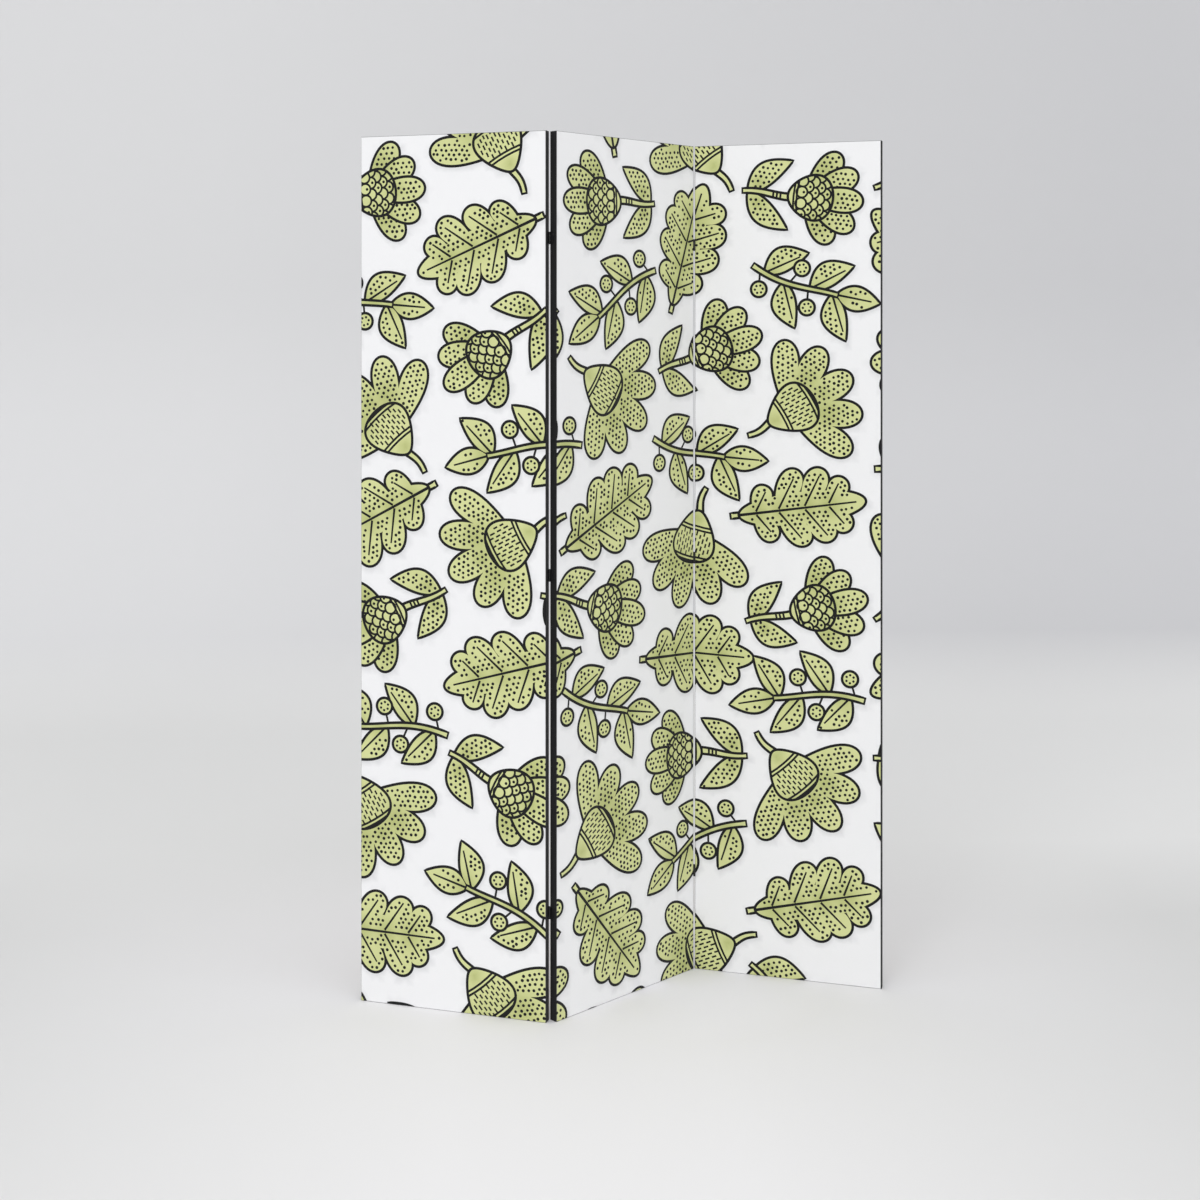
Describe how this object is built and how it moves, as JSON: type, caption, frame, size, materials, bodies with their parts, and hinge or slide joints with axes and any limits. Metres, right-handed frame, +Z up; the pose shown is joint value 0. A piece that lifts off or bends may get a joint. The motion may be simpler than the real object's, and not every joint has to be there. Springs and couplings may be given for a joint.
{
  "type": "folding screen",
  "caption": "Folding screen of tall canvas panels stretched over wooden frames and joined by small butt hinges, to stand in a zig-zag or fold flat.",
  "frame": {"origin": "on the floor under the centre of the middle panel", "axes": "+Z up along the panels' height, +X along the row of panels from the left one to the right one as seen from the printed side, -Y towards the viewer of the printed side"},
  "size_m": [1.1012, 0.2874, 1.8],
  "materials": {
    "canvas": "printed polyester-cotton canvas, matt, black where it wraps the edges",
    "pine": "planed, unvarnished pine",
    "black_enamel": "satin black enamel on pressed steel",
    "bright_steel": "plain drawn steel"
  },
  "bodies": {
    "left_panel": {"left_panel_canvas": "canvas", "left_panel_left_stile": "pine", "left_panel_right_stile": "pine", "left_panel_bottom_rail": "pine", "left_panel_top_rail": "pine", "left_panel_lower_cross_rail": "pine", "left_panel_upper_cross_rail": "pine", "left_fold_bottom_outer_leaf": "black_enamel", "left_fold_centre_outer_leaf": "black_enamel", "left_fold_top_outer_leaf": "black_enamel"},
    "middle_panel": {"middle_panel_canvas": "canvas", "middle_panel_left_stile": "pine", "middle_panel_right_stile": "pine", "middle_panel_bottom_rail": "pine", "middle_panel_top_rail": "pine", "middle_panel_lower_cross_rail": "pine", "middle_panel_upper_cross_rail": "pine", "left_fold_bottom_inner_leaf": "black_enamel", "left_fold_bottom_pin": "bright_steel", "left_fold_centre_inner_leaf": "black_enamel", "left_fold_centre_pin": "bright_steel", "left_fold_top_inner_leaf": "black_enamel", "left_fold_top_pin": "bright_steel", "right_fold_bottom_inner_leaf": "black_enamel", "right_fold_bottom_pin": "bright_steel", "right_fold_centre_inner_leaf": "black_enamel", "right_fold_centre_pin": "bright_steel", "right_fold_top_inner_leaf": "black_enamel", "right_fold_top_pin": "bright_steel"},
    "right_panel": {"right_panel_canvas": "canvas", "right_panel_left_stile": "pine", "right_panel_right_stile": "pine", "right_panel_bottom_rail": "pine", "right_panel_top_rail": "pine", "right_panel_lower_cross_rail": "pine", "right_panel_upper_cross_rail": "pine", "right_fold_bottom_outer_leaf": "black_enamel", "right_fold_centre_outer_leaf": "black_enamel", "right_fold_top_outer_leaf": "black_enamel"}
  },
  "joints": [
    {"name": "left_fold", "type": "hinge", "parent": "middle_panel", "child": "left_panel", "pos_m": [-0.16095, -0.12454, 0.9], "axis": [0, 0, -1], "range_deg": [-60, 120]},
    {"name": "right_fold", "type": "hinge", "parent": "middle_panel", "child": "right_panel", "pos_m": [0.16095, 0.12454, 0.9], "axis": [0, 0, -1], "range_deg": [-60, 120]}
  ]
}
